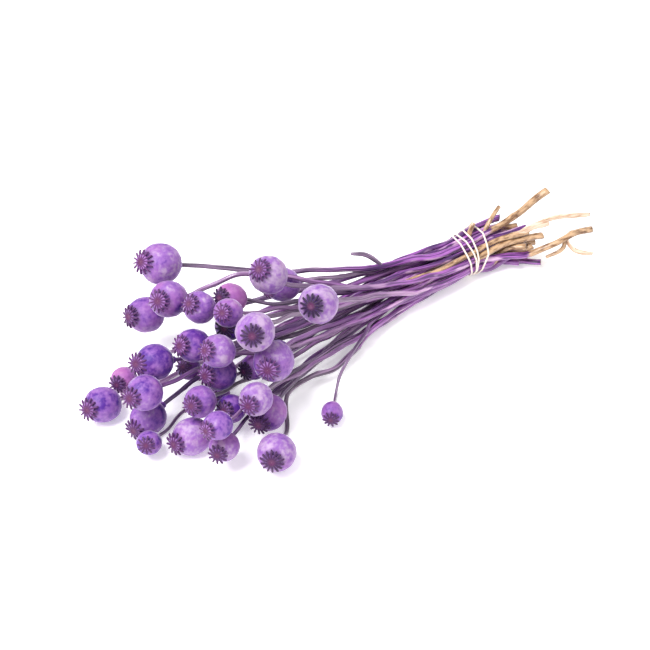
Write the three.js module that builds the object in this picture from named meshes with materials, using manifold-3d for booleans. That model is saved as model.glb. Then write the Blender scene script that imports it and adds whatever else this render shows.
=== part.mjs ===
// A tied bunch of dried, dyed poppy seed heads (opium poppy), lying on a table.
// Each stalk grew as one piece: a woody stem, a round seed capsule and the rayed
// crown that was the flower's stigma. One elastic band, wound a few times round
// the stems near their cut ends, holds the bunch together.
// Millimetres, +Z up. The heads lie towards -X and the cut ends towards +X.
import * as THREE from "three";
import { mergeVertices } from "three/addons/utils/BufferGeometryUtils.js";
import Module from "manifold-3d";

const wasm = await Module();
wasm.setup();

// Driving dimensions of the bunch.
const STEM_RADIUS_CUT = 2.9; // at the cut end of an average stalk
const STEM_RADIUS_HEAD = 1.45; // just under its seed head
const AVERAGE_HEAD = 28; // capsule width that has exactly those radii
const SLOT_SPACING = 6.0; // between stem centres inside the band
const BAND_HEIGHT = 20.1; // of the bundle's centre at the band, above the table
const BAND_RADIUS = 0.9; // of the elastic's section
const BAND_GAP = 0.8; // kept between the elastic and the stems it holds
const CLEARANCE = 0.55; // kept between any two stalks
const FLOOR_GAP = 0.7; // kept under stems, so that heads and band carry the bunch
const SINK = 0.45; // how far a resting capsule is pressed flat on the table
const TWIST = THREE.MathUtils.degToRad(75); // of the hand-tied spiral, band to heads
const CUT_TWIST = THREE.MathUtils.degToRad(45); // of the same spiral, band to cut ends
const CUT_SPREAD = 1.05; // how much wider the bundle is 60 mm past the band
const CUT_DRIFT = -0.36; // sideways slope of the cut ends, the bunch bends here
const SHEAF = new THREE.Vector3(-1, -0.13, 0.0).normalize(); // the way the stems leave
const GATHERED = 0.8; // how far they keep that way instead of each its own

// Every seed head: how far it reaches in front of the band, its place across the
// bunch and above the table, the width of its capsule, and where its top points
// (turn about the vertical from straight ahead, and tip above the horizon, degrees).
// Some crowns sit askew: crown is where such a one faces, turn and tip.
// A head that lies on the table is marked so, and its height follows from its shape.
// Three stems go by way of other places, [reach, across, height], band side first.
const HEADS = [
  { reach: 269, across: 83, height: 80, width: 36, turn: 0, tip: 30, crown: [-12, 35] },
  {
    reach: 284,
    across: 44,
    height: 75,
    width: 32,
    turn: -28,
    tip: 34,
    via: [[219, 40, 72]],
  },
  { reach: 294, across: 70, height: 42, width: 32, turn: -6, tip: 26 },
  { reach: 210, across: 2, height: 97, width: 33, turn: -23, tip: 50 },
  { reach: 178, across: 29, height: 50, width: 30, turn: 2, tip: 13 },
  { reach: 187, across: -41, height: 85, width: 34, turn: -34, tip: 34 },
  { reach: 271, across: 13, height: 83, width: 27, turn: -12, tip: 45 },
  { reach: 239, across: 17, height: 73, width: 27, turn: -14, tip: 36 },
  { reach: 259, across: -13, height: 90, width: 25, turn: -34, tip: 40 },
  { reach: 256, across: -50, height: 95, width: 33, turn: -51, tip: 33 },
  { reach: 248, across: -59, height: 61, width: 34, turn: -43, tip: 23 },
  { reach: 219, across: -22, height: 26, width: 27, turn: -34, tip: 39 },
  { reach: 285, across: -39, height: 80, width: 28, turn: -8, tip: 36 },
  { reach: 289, across: -4, height: 60, width: 29, turn: -12, tip: 34 },
  { reach: 241, across: 16, height: 45, width: 27, turn: -37, tip: 30 },
  { reach: 288, across: 9, height: 24, width: 21, turn: -28, tip: 44 },
  { reach: 281, across: -31, height: 45, width: 30, turn: -16, tip: 26 },
  { reach: 322, across: 4, height: 54, width: 31, turn: 4, tip: 19, crown: [-18, 33] },
  {
    reach: 346,
    across: -20,
    height: 51,
    width: 30,
    turn: -14,
    tip: 18,
    crown: [-28, 30],
  },
  { reach: 338, across: 35, height: 13, width: 23, turn: -34, tip: 24 },
  {
    reach: 366,
    across: 21,
    rests: true,
    width: 31,
    turn: -13,
    tip: 21,
    crown: [-23, 28],
  },
  {
    reach: 343,
    across: -17,
    rests: true,
    width: 30,
    turn: -14,
    tip: -8,
    crown: [-27, 12],
  },
  { reach: 356, across: -39, height: 16, width: 21, turn: -48, tip: 36 },
  {
    reach: 322,
    across: -54,
    rests: true,
    width: 32,
    turn: -5,
    tip: 8,
    crown: [-16, 19],
  },
  { reach: 315, across: -85, height: 50, width: 24, turn: -15, tip: 17 },
  { reach: 308, across: -46, height: 42, width: 27, turn: -30, tip: 30 },
  { reach: 284, across: -54, height: 25, width: 25, turn: -27, tip: 34 },
  { reach: 272, across: -77, height: 53, width: 28, turn: -33, tip: 23 },
  {
    reach: 259,
    across: -72,
    height: 22,
    width: 31,
    turn: -30,
    tip: 5,
    crown: [-36, 16],
  },
  {
    reach: 275,
    across: -109,
    rests: true,
    width: 32,
    turn: -45,
    tip: 21,
    via: [[183, -51, 14], [223, -51, 12]],
  },
  {
    reach: 311,
    across: -86,
    height: 24,
    width: 25,
    turn: -35,
    tip: 13,
    crown: [-39, 21],
  },
  {
    reach: 208,
    across: -92,
    rests: true,
    width: 19,
    turn: -49,
    tip: 13,
    via: [[165, -56, 22]],
  },
  { reach: 250, across: -37, height: 43, width: 22, turn: -14, tip: 16 },
  { reach: 276, across: -20, rests: true, width: 19, turn: -23, tip: 24 },
];

// Cut ends that stick out: [past the band, across, height]. The others are shorter.
// A bend gives the two places between the cut end and the band.
const CUTS = [
  { end: [89, -9, 62] },
  { end: [112, -49, 31], bend: [[79, -42, 31], [56, -31, 17]] },
  { end: [66, -34, 31] },
  { end: [63, -27, 23] },
  { end: [62, -38, 12] },
  { end: [54, -27, 9] },
  { end: [52, -13, 41] },
];

// Side shoots and dry leaf rests that stayed on the stems. Each grows from the stem
// nearest to its root. Places are [past the band, across, height]; flat is the
// section's thickness for its width.
const SHOOTS = [
  // a side branch broken off short, on top of the sheaf
  { root: [-82, 13, 43], middle: [-96, 19, 52], tip: [-109, 24, 56], width: 4.2, flat: 1 },
  // a thin bare twig standing up just behind the band
  { root: [17, -2, 42], middle: [30, 0, 48], tip: [43, 4, 55], width: 4.4, flat: 1 },
  // a short stub that stands up between the turns of the band
  { root: [8, 3, 40], middle: [10.5, 3.5, 44], tip: [14, 4.4, 48.5], width: 5, flat: 1 },
  // a rootlet that bends back beside the longest cut end
  { root: [84, -43, 31], middle: [79, -47, 22], tip: [66, -41, 14], width: 4, flat: 1 },
  // papery leaf rests among the cut ends
  { root: [55, -15, 44], middle: [83, -29, 45], tip: [112, -44, 47], width: 6, flat: 0.25 },
  { root: [42, -22, 38], middle: [56, -29, 46], tip: [71, -34, 49], width: 8, flat: 0.2 },
  { root: [86, -45, 29], middle: [90, -53, 19], tip: [106, -60, 13], width: 5, flat: 0.3 },
];

// Facets of each piece.
const STEM_SIDES = 5;
const CUT_SEGMENTS = 3; // of a stem, cut end to band
const HEAD_SEGMENTS = 12; // band to seed head
const LAST = CUT_SEGMENTS + HEAD_SEGMENTS; // the stem's station at its seed head
const CAPSULE_SIDES = 9;
const BAND_SIDES = 4;
const BAND_STEPS = 26;

// The capsule's outline, in units of its greatest radius, along its axis from the
// stem to the crown: receptacle ring, short stipe, round body, shoulder, neck.
const CAPSULE_OUTLINE = [
  [0.0, -1.25],
  [0.15, -1.23],
  [0.21, -1.15],
  [0.17, -1.06],
  [0.62, -0.84],
  [0.95, -0.38],
  [1.02, 0.13],
  [0.84, 0.67],
  [0.44, 1.0],
  [0.36, 1.12],
  [0.0, 1.12],
];
const CROWN_PLAIN = 3.6; // mm of a crown's radius that every seed head has
const CROWN_SHARE = 0.42; // of the capsule's radius that comes on top of it
const CROWN_NOTCH = 0.73; // radius between two rays, for the radius at their tips
const CROWN_BASE = 1.05; // underside of the crown, along the capsule's axis
const CROWN_RIM = 0.1; // thickness at the rim
const CROWN_DOME = 0.1; // rise of the centre over the rim
const CROWN_VALLEY = 0.05; // the ray's ridge over the notch
const NECK_LENGTH = 1.2; // centre of the capsule to the end of the stem

// Balls that fill a seed head, [place along its axis, radius] in capsule radii.
// They keep heads and stems apart while the bunch is laid out.
const HEAD_BALLS = [
  [0, 1.04],
  [0.62, 0.86],
  [-0.9, 0.36],
  [-1.25, 0.17],
  [-1.55, 0.17],
  [-1.85, 0.17],
  [-2.15, 0.17],
];

// A repeatable stream of numbers from 0 to 1.
function seeded(seed) {
  let state = seed;
  return () => {
    state = (state + 0x6d2b79f5) | 0;
    let t = Math.imul(state ^ (state >>> 15), 1 | state);
    t = (t + Math.imul(t ^ (t >>> 7), 61 | t)) ^ t;
    return ((t ^ (t >>> 14)) >>> 0) / 4294967296;
  };
}

// A closed three.js geometry as a solid that can be cut and joined.
function solid(geometry) {
  geometry.deleteAttribute("normal");
  geometry.deleteAttribute("uv");
  const merged = mergeVertices(geometry, 1e-4);
  return new wasm.Manifold(
    new wasm.Mesh({
      numProp: 3,
      vertProperties: merged.attributes.position.array,
      triVerts: new Uint32Array(merged.index.array),
    }),
  );
}

// The way back from a solid to a three.js geometry.
function geometryOf(made) {
  const mesh = made.getMesh();
  const geometry = new THREE.BufferGeometry();
  geometry.setAttribute(
    "position",
    new THREE.BufferAttribute(mesh.vertProperties, 3),
  );
  geometry.setIndex(new THREE.BufferAttribute(mesh.triVerts, 1));
  geometry.computeVertexNormals();
  return geometry;
}

// Moves every vertex of a geometry by a rule.
function bend(geometry, rule) {
  const place = geometry.attributes.position;
  const vertex = new THREE.Vector3();
  for (let i = 0; i < place.count; i++) {
    vertex.fromBufferAttribute(place, i);
    rule(vertex);
    place.setXYZ(i, vertex.x, vertex.y, vertex.z);
  }
  return geometry;
}

// The direction with a turn and a tip in degrees: straight ahead is -X.
function facing(turn, tip) {
  const [a, b] = [turn, tip].map(THREE.MathUtils.degToRad);
  return new THREE.Vector3(
    -Math.cos(a) * Math.cos(b),
    Math.sin(a) * Math.cos(b),
    Math.sin(b),
  );
}

// A seed capsule at the origin along an axis, with its crown facing its own way.
function seedHead(width, axis, crownAxis, rays, spin) {
  const radius = width / 2;
  const outline = CAPSULE_OUTLINE.map(
    ([r, z]) => new THREE.Vector2(r * radius, z * radius),
  );
  const capsule = new THREE.LatheGeometry(outline, CAPSULE_SIDES);
  const crown = new THREE.CylinderGeometry(1, 1, 1, 2 * rays, 1);
  const onRay = (angle) => Math.cos(rays * angle) > 0;
  const reach = CROWN_PLAIN / radius + CROWN_SHARE;
  bend(crown, (v) => {
    const centre = Math.hypot(v.x, v.z) < 0.5;
    const angle = Math.atan2(v.x, v.z);
    const out = centre ? 0 : onRay(angle) ? reach : CROWN_NOTCH * reach;
    const ridge = centre || onRay(angle) ? CROWN_VALLEY : 0;
    const top = CROWN_RIM + ridge + (centre ? CROWN_DOME : 0);
    const up = CROWN_BASE + (v.y > 0 ? top : 0);
    v.set(Math.sin(angle) * out, up, Math.cos(angle) * out);
    v.multiplyScalar(radius);
  });
  const upright = new THREE.Vector3(0, 1, 0);
  const turned = new THREE.Quaternion().setFromUnitVectors(upright, axis);
  const askew = new THREE.Quaternion().setFromUnitVectors(axis, crownAxis);
  const foot = axis.clone().multiplyScalar(CROWN_BASE * radius);
  for (const shape of [capsule, crown]) shape.rotateY(spin).applyQuaternion(turned);
  crown.translate(-foot.x, -foot.y, -foot.z).applyQuaternion(askew);
  crown.translate(foot.x, foot.y, foot.z);
  return solid(capsule).add(solid(crown));
}

// A round bar along a list of points with its own radius at each: a cylinder whose
// rings are carried to the points, turned as little as possible from one to the next.
function bar(points, radii, sides, flat = 1) {
  const count = points.length - 1;
  const frames = [];
  let side = new THREE.Vector3(0, 0, 1);
  points.forEach((point, k) => {
    const before = points[Math.max(0, k - 1)];
    const after = points[Math.min(count, k + 1)];
    const along = after.clone().sub(before).normalize();
    side = side.clone().addScaledVector(along, -side.dot(along)).normalize();
    frames.push({ side, other: new THREE.Vector3().crossVectors(side, along) });
  });
  const cylinder = new THREE.CylinderGeometry(1, 1, 1, sides, count);
  return bend(cylinder, (v) => {
    const k = Math.round((v.y + 0.5) * count);
    const { side: a, other: b } = frames[k];
    const [x, z] = [v.x * radii[k] * flat, v.z * radii[k]];
    v.copy(points[k]).addScaledVector(a, x).addScaledVector(b, z);
  });
}

// Places in a honeycomb round the origin, nearest first.
function honeycomb(count, spacing) {
  const cells = [];
  const rings = Math.ceil(Math.sqrt(count));
  for (let row = -rings; row <= rings; row++)
    for (let col = -rings; col <= rings; col++) {
      const x = (col + (row & 1 ? 0.5 : 0) - 0.25) * spacing;
      const y = row * spacing * Math.sqrt(0.75) + 0.1 * spacing;
      cells.push(new THREE.Vector2(x, y));
    }
  return cells.sort((a, b) => a.length() - b.length()).slice(0, count);
}

// Pushes overlapping seed heads apart and keeps the resting ones on the table.
function settleHeads(heads) {
  const rounds = 300;
  const push = new THREE.Vector3();
  for (let round = 0; round < rounds; round++) {
    heads.forEach((a, i) => {
      for (const b of heads.slice(i + 1)) {
        if (a.centre.distanceTo(b.centre) > a.radius + b.radius + 30) continue;
        for (const [alongA, ballA] of HEAD_BALLS)
          for (const [alongB, ballB] of HEAD_BALLS) {
            push.copy(b.centre).addScaledVector(b.axis, alongB * b.radius);
            push.sub(a.centre).addScaledVector(a.axis, -alongA * a.radius);
            const apart = push.length();
            const need = ballA * a.radius + ballB * b.radius + CLEARANCE;
            if (apart >= need) continue;
            push.setLength((need - apart) / 2);
            b.centre.add(push);
            a.centre.sub(push);
          }
      }
    });
    for (const head of heads)
      head.centre.z = head.rests
        ? head.floor
        : Math.max(head.centre.z, head.floor + SINK + FLOOR_GAP);
  }
}

// Gives each head a place in the band, so that the stems fan out in one spiral.
function assignSlots(heads) {
  const slots = honeycomb(heads.length, SLOT_SPACING);
  const bearings = heads.map(
    ({ centre }) =>
      new THREE.Vector2(-centre.y / centre.x, -(centre.z - 30) / centre.x),
  );
  const mean = bearings
    .reduce((sum, b) => sum.add(b), new THREE.Vector2())
    .divideScalar(heads.length);
  const size = (list) =>
    Math.sqrt(list.reduce((sum, v) => sum + v.lengthSq(), 0) / list.length);
  bearings.forEach((b) => b.sub(mean));
  const wanted = bearings.map((b) =>
    b
      .clone()
      .multiplyScalar(size(slots) / size(bearings))
      .rotateAround(new THREE.Vector2(), TWIST),
  );
  const order = heads.map((_, i) => i);
  const cost = (i, s) => wanted[i].distanceToSquared(slots[s]);
  for (let swapped = true; swapped; ) {
    swapped = false;
    for (let i = 0; i < order.length; i++)
      for (let j = i + 1; j < order.length; j++) {
        const now = cost(i, order[i]) + cost(j, order[j]);
        const then = cost(i, order[j]) + cost(j, order[i]);
        if (then >= now - 1e-9) continue;
        [order[i], order[j]] = [order[j], order[i]];
        swapped = true;
      }
  }
  return order.map((s) => slots[s]);
}

// The nearest points of two segments, as shares s of p to q and t of u to v, and
// the step that leads from the first to the second.
function nearest(p, q, u, v) {
  const one = new THREE.Vector3().subVectors(q, p);
  const two = new THREE.Vector3().subVectors(v, u);
  const apart = new THREE.Vector3().subVectors(u, p);
  const [a, b, e] = [one.lengthSq(), one.dot(two), two.lengthSq()];
  const [c, f] = [one.dot(apart), two.dot(apart)];
  const clamp = (share) => Math.min(1, Math.max(0, share));
  const even = a * e - b * b;
  let s = even > 1e-9 ? clamp((c * e - b * f) / even) : clamp(c / a);
  const t = e > 1e-9 ? clamp((b * s - f) / e) : 0;
  s = clamp((c + b * t) / a);
  apart.addScaledVector(two, t).addScaledVector(one, -s);
  return { s, t, apart };
}

// Where the stems are cut. They keep their order in the band, slightly turned, and
// each end that sticks out belongs to the stem that is nearest to it anyway.
function cutEnds(slots, random) {
  const ends = slots.map((slot) => {
    const past = 36 + 24 * random();
    const spread = slot
      .clone()
      .multiplyScalar(1 + ((CUT_SPREAD - 1) * past) / 60)
      .rotateAround(new THREE.Vector2(), -CUT_TWIST * (0.6 + (0.4 * past) / 100));
    const across = CUT_DRIFT * past + spread.x + 3 * (random() - 0.5);
    const height = BAND_HEIGHT + 2 + spread.y + 3 * (random() - 0.5);
    return { end: new THREE.Vector3(past, across, height), bend: [] };
  });
  const free = new Set(ends);
  const apart = (a, b) => Math.hypot(a.y - b.y, a.z - b.z);
  for (const { end, bend = [] } of CUTS) {
    const wanted = new THREE.Vector3(...end);
    const level = wanted.clone().setY(wanted.y - CUT_DRIFT * (wanted.x - 50));
    const [near] = [...free].sort((a, b) => apart(a.end, level) - apart(b.end, level));
    free.delete(near);
    near.end.copy(wanted);
    near.bend = bend;
  }
  return ends;
}

// The first guess of a stem's route: cut end, place in the band, seed head.
function firstRoute(head, slot, { end, bend }) {
  const band = new THREE.Vector3(0, slot.x, BAND_HEIGHT + slot.y);
  const neck = head.centre
    .clone()
    .addScaledVector(head.axis, -NECK_LENGTH * head.radius);
  const way = neck.clone().sub(band);
  const span = way.length();
  const through = way.normalize().lerp(SHEAF, GATHERED).normalize();
  const leaving = band.clone().addScaledVector(through, 0.4 * span);
  const coming = neck.clone().addScaledVector(head.axis, -0.24 * span);
  const direct = new THREE.CubicBezierCurve3(band, leaving, coming, neck);
  const detour = new THREE.CatmullRomCurve3([
    band,
    band.clone().addScaledVector(through, 0.35 * span),
    ...head.via,
    neck.clone().addScaledVector(head.axis, -18),
    neck,
  ]);
  const toHead = head.via.length > 0 ? detour : direct;
  const toBand = new THREE.QuadraticBezierCurve3(
    end,
    band.clone().addScaledVector(through, -0.45 * end.x),
    band,
  );
  const points = toBand.getSpacedPoints(CUT_SEGMENTS);
  bend.forEach((place, k) => points[k + 1].set(...place));
  for (let k = 1; k <= HEAD_SEGMENTS; k++) {
    const share = k / HEAD_SEGMENTS;
    points.push(toHead.getPointAt(share * (1.22 - 0.22 * share)));
  }
  return points;
}

// Stem radius at each station: slimmer towards the head, stouter for a big head.
function stemRadii(head, count) {
  const scale = 0.2 + (0.8 * head.radius * 2) / AVERAGE_HEAD;
  const size = Math.min(1.2, Math.max(0.75, scale));
  return Array.from({ length: count }, (_, k) => {
    const share = Math.pow(k / (count - 1), 0.65);
    return size * THREE.MathUtils.lerp(STEM_RADIUS_CUT, STEM_RADIUS_HEAD, share);
  });
}

// Pairs of segments of different stems that come within reach of each other.
function closeSegments(stalks, reach) {
  const pairs = [];
  stalks.forEach((a, i) =>
    stalks.slice(0, i).forEach((b) => {
      for (let k = 0; k < LAST; k++)
        for (let l = 0; l < LAST; l++) {
          if (a.points[k].distanceTo(b.points[l]) > 80) continue;
          const ends = [k, k + 1].map((n) => a.points[n]);
          const others = [l, l + 1].map((n) => b.points[n]);
          const { apart } = nearest(...ends, ...others);
          if (apart.length() < reach) pairs.push([a, k, b, l]);
        }
    }),
  );
  return pairs;
}

// Segments of stems within reach of the balls that fill the other seed heads.
function closeBalls(stalks, reach) {
  const pairs = [];
  for (const { head } of stalks)
    for (const [along, size] of HEAD_BALLS) {
      const at = head.centre
        .clone()
        .addScaledVector(head.axis, along * head.radius);
      for (const stalk of stalks)
        for (let k = 0; k < LAST; k++) {
          if (stalk.head === head && k > LAST - 4) continue;
          const { apart } = nearest(stalk.points[k], stalk.points[k + 1], at, at);
          if (apart.length() < size * head.radius + reach)
            pairs.push([stalk, k, at, size * head.radius]);
        }
    }
  return pairs;
}

// Bends the stems round each other and round the heads until nothing touches.
function settleStems(stalks) {
  const rounds = 800;
  const calm = 200; // last rounds, in which the stems no longer spring back
  const pinned = (k) => k === CUT_SEGMENTS || k === LAST;
  const bow = (points, k, into) =>
    into.copy(points[k - 1]).add(points[k + 1]).multiplyScalar(0.5).sub(points[k]);
  const springy = [...Array(LAST).keys()].filter((k) => k > 0 && !pinned(k));
  for (const stalk of stalks)
    stalk.bows = stalk.points.map((_, k) =>
      springy.includes(k) ? bow(stalk.points, k, new THREE.Vector3()) : null,
    );
  // Moves a segment by a step, at a share of its length.
  const shift = ({ points }, k, share, by) => {
    const first = pinned(k) ? 0 : 1 - share;
    const second = pinned(k + 1) ? 0 : share;
    const sum = first ** 2 + second ** 2;
    if (sum < 1e-6) return;
    const scale = Math.min(1 / sum, 2);
    points[k].addScaledVector(by, first * scale);
    points[k + 1].addScaledVector(by, second * scale);
  };
  const radiusAt = ({ radii }, k, share) =>
    THREE.MathUtils.lerp(radii[k], radii[k + 1], share);
  const pull = new THREE.Vector3();
  let stems = [];
  let balls = [];
  for (let round = 0; round < rounds; round++) {
    if (round % 25 === 0) {
      stems = closeSegments(stalks, 13);
      balls = closeBalls(stalks, 12);
    }
    for (const { points, bows } of stalks)
      for (const k of round < rounds - calm ? springy : []) {
        bow(points, k, pull).sub(bows[k]);
        points[k].addScaledVector(pull, 0.25);
      }
    for (const [a, k, b, l] of stems) {
      const ends = [a.points[k], a.points[k + 1], b.points[l], b.points[l + 1]];
      const { s, t, apart } = nearest(...ends);
      const gap = apart.length();
      const need = radiusAt(a, k, s) + radiusAt(b, l, t) + CLEARANCE;
      if (gap >= need || gap < 1e-6) continue;
      apart.setLength((need - gap) / 2);
      shift(b, l, t, apart);
      shift(a, k, s, apart.negate());
    }
    for (const [a, k, at, size] of balls) {
      const { s, apart } = nearest(a.points[k], a.points[k + 1], at, at);
      const gap = apart.length();
      const need = size + radiusAt(a, k, s) + CLEARANCE;
      if (gap < need) shift(a, k, s, apart.setLength(gap - need));
    }
    for (const { points, radii } of stalks)
      points.forEach((p, k) => {
        if (!pinned(k)) p.z = Math.max(p.z, radii[k] + FLOOR_GAP);
      });
  }
}

// How far the stems reach from the bundle's centre in a tilted plane, in the
// direction of each angle: the outline of a string pulled tight round them.
function tightOutline(stalks, centre, acrossAxis, upAxis) {
  const normal = new THREE.Vector3().crossVectors(acrossAxis, upAxis);
  const discs = stalks.map(({ points, radii }) => {
    const height = (p) => p.clone().sub(centre).dot(normal);
    let k = 0;
    while (height(points[k]) * height(points[k + 1]) > 0) k++;
    const [h0, h1] = [height(points[k]), height(points[k + 1])];
    const share = h0 / (h0 - h1);
    const at = points[k].clone().lerp(points[k + 1], share).sub(centre);
    const slant = Math.abs(h1 - h0) / points[k].distanceTo(points[k + 1]);
    const radius = THREE.MathUtils.lerp(radii[k], radii[k + 1], share) / slant;
    return [at.dot(acrossAxis), at.dot(upAxis), radius];
  });
  const steps = 120;
  const support = Array.from({ length: steps }, (_, n) => {
    const angle = (n / steps) * 2 * Math.PI;
    const [c, s] = [Math.cos(angle), Math.sin(angle)];
    return [angle, Math.max(...discs.map(([y, z, r]) => y * c + z * s + r))];
  });
  return (angle) =>
    Math.min(
      ...support
        .filter(([at]) => Math.cos(at - angle) > 0.2)
        .map(([at, reach]) => reach / Math.cos(at - angle)),
    );
}

// One turn of the elastic band, in a plane leaned from the bundle's cross-section.
function bandTurn(stalks, { along, lean, swing }) {
  const turn = new THREE.Euler(
    0,
    THREE.MathUtils.degToRad(lean),
    THREE.MathUtils.degToRad(swing),
  );
  const across = new THREE.Vector3(0, 1, 0).applyEuler(turn);
  const up = new THREE.Vector3(0, 0, 1).applyEuler(turn);
  const normal = new THREE.Vector3().crossVectors(across, up);
  const centre = new THREE.Vector3(along, 0, BAND_HEIGHT);
  const reach = tightOutline(stalks, centre, across, up);
  const ring = new THREE.TorusGeometry(10, 1, BAND_SIDES, BAND_STEPS);
  return bend(ring, (v) => {
    const angle = Math.atan2(v.y, v.x);
    const out = Math.hypot(v.x, v.y) - 10;
    const radius = reach(angle) + BAND_GAP + BAND_RADIUS * (1 + out);
    const side = v.z * BAND_RADIUS;
    v.copy(centre)
      .addScaledVector(across, Math.cos(angle) * radius)
      .addScaledVector(up, Math.sin(angle) * radius)
      .addScaledVector(normal, side);
  });
}

// Everything below the table's surface, taken off what rests on it.
const table = new THREE.BoxGeometry(900, 700, 40).translate(0, 0, -20);
const belowTable = solid(table);

// A place in the bunch as a table gives it.
function placed({ reach, across, height }) {
  return new THREE.Vector3(-reach, across, height);
}

// Lays out the bunch.
const random = seeded(34);
const heads = HEADS.map((given) => {
  const axis = facing(given.turn, given.tip);
  const crownAxis = given.crown ? facing(...given.crown) : axis;
  const rays = Math.round(6 + given.width / 6 + random());
  const spin = random() * Math.PI;
  const shape = seedHead(given.width, axis, crownAxis, rays, spin);
  const floor = -shape.boundingBox().min[2] - SINK;
  return {
    axis,
    shape,
    floor,
    rests: given.rests,
    radius: given.width / 2,
    via: (given.via ?? []).map(([reach, across, height]) =>
      placed({ reach, across, height }),
    ),
    centre: placed({ ...given, height: given.rests ? floor : given.height }),
  };
});
settleHeads(heads);
const slots = assignSlots(heads);
const cuts = cutEnds(slots, random);
const stalks = heads.map((head, i) => {
  const points = firstRoute(head, slots[i], cuts[i]);
  return { head, points, radii: stemRadii(head, points.length) };
});
settleStems(stalks);

// A stalk as one solid: stem and seed head, pressed flat where it meets the table.
function stalkSolid({ head, points, radii }) {
  const end = head.centre
    .clone()
    .addScaledVector(head.axis, -0.9 * head.radius);
  const route = [...points, end];
  const sizes = [...radii, radii[radii.length - 1]];
  const stem = solid(bar(route, sizes, STEM_SIDES));
  const { x, y, z } = head.centre;
  const whole = stem.add(head.shape.translate([x, y, z]));
  return whole.boundingBox().min[2] < 0 ? whole.subtract(belowTable) : whole;
}

// Grows a shoot on the stem nearest to its root.
function grow(solids, { root, middle, tip, width, flat }) {
  const from = new THREE.Vector3(...root);
  const near = { gap: Infinity };
  stalks.forEach(({ points }, i) => {
    for (let k = 0; k < LAST; k++) {
      const { apart } = nearest(points[k], points[k + 1], from, from);
      if (apart.length() >= near.gap) continue;
      Object.assign(near, { i, gap: apart.length(), at: from.clone().sub(apart) });
    }
  });
  const course = new THREE.CatmullRomCurve3([
    near.at,
    new THREE.Vector3(...middle),
    new THREE.Vector3(...tip),
  ]);
  const sizes = [0.7, 1, 1, 0.95, 0.8].map((size) => (size * width) / 2);
  const shoot = solid(bar(course.getSpacedPoints(4), sizes, STEM_SIDES, flat));
  solids[near.i] = solids[near.i].add(shoot);
}

// The elastic band: four turns, pulled tight round the stems. They meet where the
// bunch lies on the table and fan out over its top.
const BAND_TURNS = [
  { along: -4, lean: -10, swing: -5 },
  { along: -1, lean: -3, swing: 4 },
  { along: 3, lean: 6, swing: -3 },
  { along: 9, lean: 21, swing: 2 },
];

const dyed = new THREE.MeshStandardMaterial({
  color: 0x9a6cc0,
  roughness: 0.85,
  metalness: 0,
});
const elastic = new THREE.MeshStandardMaterial({
  color: 0xf0e6dc,
  roughness: 0.55,
  metalness: 0,
});

const bunch = new THREE.Group();
const solids = stalks.map(stalkSolid);
SHOOTS.forEach((shoot) => grow(solids, shoot));
solids.forEach((whole, i) => {
  const mesh = new THREE.Mesh(geometryOf(whole), dyed);
  mesh.name = "stalk_" + String(i + 1).padStart(2, "0");
  bunch.add(mesh);
});
const turns = BAND_TURNS.map((turn) => solid(bandTurn(stalks, turn)));
const band = turns.reduce((whole, turn) => whole.add(turn));
const tie = new THREE.Mesh(geometryOf(band.subtract(belowTable)), elastic);
tie.name = "tie_band";
bunch.add(tie);

// The origin is on the table, under the middle of the bunch.
const middle = new THREE.Box3()
  .setFromObject(bunch)
  .getCenter(new THREE.Vector3());
bunch.position.set(-middle.x, -middle.y, 0);

export default bunch;
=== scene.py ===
# %% [markdown]
# # A tied bunch of dried, dyed poppy seed heads
# Opium poppy stalks are cut when their capsules are ripe, dried, dipped in a violet
# dye and tied near the cut ends. This script dresses the CAD model of such a bunch.
# Every stalk's place is read from its CAD node, so the two can't drift apart.
# All shapes are worked out in millimetres and turned to metres in the last step.

import bpy
import numpy as np
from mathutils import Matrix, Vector


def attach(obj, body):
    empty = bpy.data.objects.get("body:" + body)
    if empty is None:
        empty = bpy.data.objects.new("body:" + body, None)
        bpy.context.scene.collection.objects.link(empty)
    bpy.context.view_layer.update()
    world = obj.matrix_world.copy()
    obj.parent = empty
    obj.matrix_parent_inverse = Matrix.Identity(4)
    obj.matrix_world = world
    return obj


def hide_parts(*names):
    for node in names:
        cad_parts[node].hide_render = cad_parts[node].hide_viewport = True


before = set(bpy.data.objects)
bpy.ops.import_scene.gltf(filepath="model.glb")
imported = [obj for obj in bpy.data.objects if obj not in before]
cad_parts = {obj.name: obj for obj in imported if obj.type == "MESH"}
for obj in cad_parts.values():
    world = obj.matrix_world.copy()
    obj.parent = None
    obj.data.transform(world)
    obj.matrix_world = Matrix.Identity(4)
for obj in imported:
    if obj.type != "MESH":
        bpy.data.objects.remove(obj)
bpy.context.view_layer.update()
MM = 0.001

# %% [markdown]
# ## Tools for lists of points
# A stem is a line that bends, and a capsule is an outline that turns round an axis.
# Both need smooth curves through a few given points. A cubic between each two points,
# with the slope of the points around, does that without overshooting much.

# %% Small tools
def unit(vectors):
    """Each vector divided by its own length."""
    return vectors / np.linalg.norm(vectors, axis=-1, keepdims=True)


def smooth(knots, values, at):
    """A curve through values at knots. In each span it is the cubic that has the
    values and the slopes of its two ends, and a slope is the weighted mean of the
    slopes of the lines on both sides."""
    knots, values = np.asarray(knots, float), np.asarray(values, float)
    slopes = np.gradient(values, knots, axis=0)
    k = np.clip(np.searchsorted(knots, at) - 1, 0, len(knots) - 2)
    span = knots[k + 1] - knots[k]
    t = (at - knots[k]) / span
    if values.ndim > 1:
        span, t = span[:, None], t[:, None]
    rest = 1 - t
    ends = values[k] * rest**2 * (1 + 2 * t) + values[k + 1] * t**2 * (3 - 2 * t)
    lean = slopes[k] * rest**2 * t - slopes[k + 1] * t**2 * rest
    return ends + lean * span


def frames(along):
    """Two unit directions across each direction of a line that is nowhere upright:
    one is level, and the other makes a right-handed set with it."""
    level = unit(np.cross(along, (0.0, 0.0, 1.0)))
    return level, np.cross(along, level)


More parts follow.
